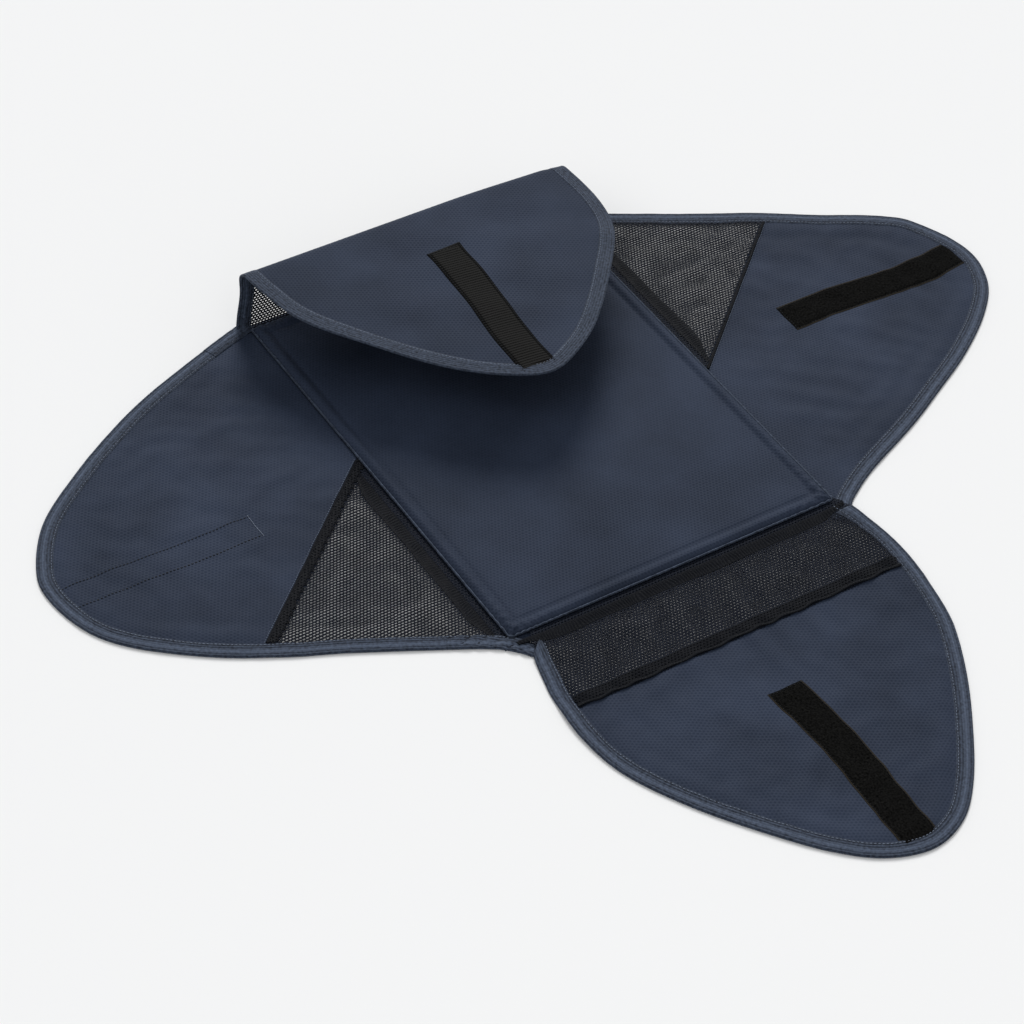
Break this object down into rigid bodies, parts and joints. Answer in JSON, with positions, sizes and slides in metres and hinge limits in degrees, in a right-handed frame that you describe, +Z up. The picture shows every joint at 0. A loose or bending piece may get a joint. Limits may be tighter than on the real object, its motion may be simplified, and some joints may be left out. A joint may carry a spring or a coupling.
{
  "type": "garment folder",
  "caption": "Stiffened rectangular base with bound cloth wings that fold up and over a stack of clothes and close with hook-and-loop strips.",
  "frame": {"origin": "centre of the base's underside", "axes": "+X to the right across the base, +Y towards the back wing, +Z up from the surface it lies on"},
  "size_m": [0.8464, 0.7246, 0.0632],
  "materials": {
    "cloth": "navy polyester with a small diamond weave and a soft sheen",
    "binding": "ribbed navy binding tape, one row of stitching",
    "mesh": "black knitted mesh with small diamond holes",
    "hook_tape": "charcoal hook tape in fine ribs",
    "loop_tape": "black fuzzy loop tape",
    "board": "thin matt polypropylene board"
  },
  "bodies": {
    "base": {"base_panel": "cloth", "base_cover": "cloth", "folding_board": "board", "corner_binding_back_right": "binding", "corner_binding_back_left": "binding", "corner_binding_front_left": "binding", "corner_binding_front_right": "binding"},
    "back_wall": {"back_wall_mesh": "mesh", "back_wall_binding_left": "binding", "back_wall_binding_right": "binding"},
    "back_flap": {"back_flap_panel": "cloth", "back_flap_binding": "binding", "back_hook_strip": "hook_tape"},
    "front_wall": {"front_wall_mesh": "mesh", "front_wall_binding_left": "binding", "front_wall_binding_right": "binding"},
    "front_flap": {"front_mesh_hem": "mesh", "front_flap_panel": "cloth", "front_flap_binding": "binding", "front_loop_strip": "loop_tape"},
    "left_wall": {"left_wall_panel": "cloth", "left_wall_mesh": "mesh", "left_wall_binding_front": "binding", "left_wall_binding_back": "binding"},
    "left_flap": {"left_flap_panel": "cloth", "left_flap_mesh": "mesh", "left_flap_binding": "binding", "left_hook_strip": "hook_tape"},
    "right_wall": {"right_wall_panel": "cloth", "right_wall_mesh": "mesh", "right_wall_binding_front": "binding", "right_wall_binding_back": "binding"},
    "right_flap": {"right_flap_panel": "cloth", "right_flap_mesh": "mesh", "right_flap_binding": "binding", "right_loop_strip": "loop_tape"}
  },
  "joints": [
    {"name": "back_wall_fold", "type": "hinge", "parent": "base", "child": "back_wall", "pos_m": [0, 0.206, 0.0016], "axis": [1, 0, 0], "range_deg": [-90, 0]},
    {"name": "back_flap_fold", "type": "hinge", "parent": "back_wall", "child": "back_flap", "pos_m": [0, 0.206, 0.0616], "axis": [1, 0, 0], "range_deg": [-90, 0]},
    {"name": "front_wall_fold", "type": "hinge", "parent": "base", "child": "front_wall", "pos_m": [0, -0.206, 0.0016], "axis": [-1, 0, 0], "range_deg": [0, 90]},
    {"name": "front_flap_fold", "type": "hinge", "parent": "front_wall", "child": "front_flap", "pos_m": [0, -0.272, 0.0016], "axis": [-1, 0, 0], "range_deg": [0, 90]},
    {"name": "left_wall_fold", "type": "hinge", "parent": "base", "child": "left_wall", "pos_m": [-0.157, 0, 0.0016], "axis": [0, 1, 0], "range_deg": [0, 90]},
    {"name": "left_flap_fold", "type": "hinge", "parent": "left_wall", "child": "left_flap", "pos_m": [-0.2285, 0, 0.0016], "axis": [0, 1, 0], "range_deg": [0, 90]},
    {"name": "right_wall_fold", "type": "hinge", "parent": "base", "child": "right_wall", "pos_m": [0.157, 0, 0.0016], "axis": [0, -1, 0], "range_deg": [0, 90]},
    {"name": "right_flap_fold", "type": "hinge", "parent": "right_wall", "child": "right_flap", "pos_m": [0.234, 0, 0.0016], "axis": [0, -1, 0], "range_deg": [0, 90]}
  ],
  "couplings": [
    {"joint": "back_flap_fold", "follows": "back_wall_fold", "ratio": 1},
    {"joint": "front_flap_fold", "follows": "front_wall_fold", "ratio": 1},
    {"joint": "left_flap_fold", "follows": "left_wall_fold", "ratio": 1},
    {"joint": "right_flap_fold", "follows": "right_wall_fold", "ratio": 1}
  ]
}
